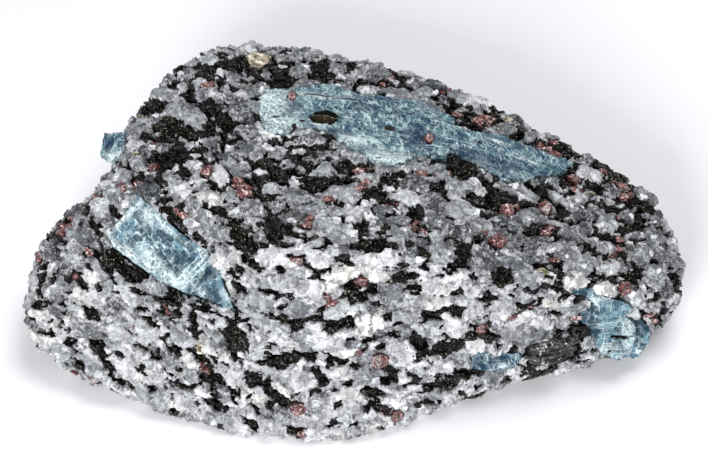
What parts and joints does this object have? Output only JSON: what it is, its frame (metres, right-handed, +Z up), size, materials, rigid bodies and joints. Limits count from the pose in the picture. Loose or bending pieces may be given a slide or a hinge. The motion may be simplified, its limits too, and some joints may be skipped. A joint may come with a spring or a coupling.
{
  "type": "kyanite blade cluster",
  "caption": "Blue kyanite blades and garnets set in a loose lump of biotite-quartz schist that lies on a flat broken base.",
  "frame": {"origin": "middle of the footprint's bounding box, on the plane that the flat broken base rests on", "axes": "+X along the stone towards its narrow end, +Y towards the thick back edge, +Z up out of the base"},
  "size_m": [0.0964, 0.0594, 0.0288],
  "materials": {
    "schist": "broken, granular",
    "quartz": "translucent, glassy grains",
    "kyanite": "vitreous with pearly fibres",
    "pale_kyanite": "vitreous with pale cleavage cracks",
    "biotite": "glossy mica sheets",
    "muscovite": "pearly mica sheets",
    "garnet": "vitreous"
  },
  "bodies": {
    "root": {"schist_matrix": "schist", "kyanite_long_blade": "kyanite", "kyanite_front_blade": "pale_kyanite", "kyanite_small_blade": "kyanite", "kyanite_left_tip": "kyanite", "kyanite_corner_crystals": "pale_kyanite", "biotite_book": "biotite", "biotite_eye": "biotite", "golden_mica": "muscovite", "garnet_1": "garnet", "garnet_2": "garnet", "garnet_3": "garnet", "garnet_4": "garnet", "garnet_5": "garnet", "garnet_6": "garnet", "garnet_7": "garnet", "garnet_8": "garnet", "garnet_9": "garnet", "garnet_10": "garnet", "garnet_11": "garnet", "garnet_12": "garnet"}
  },
  "joints": []
}
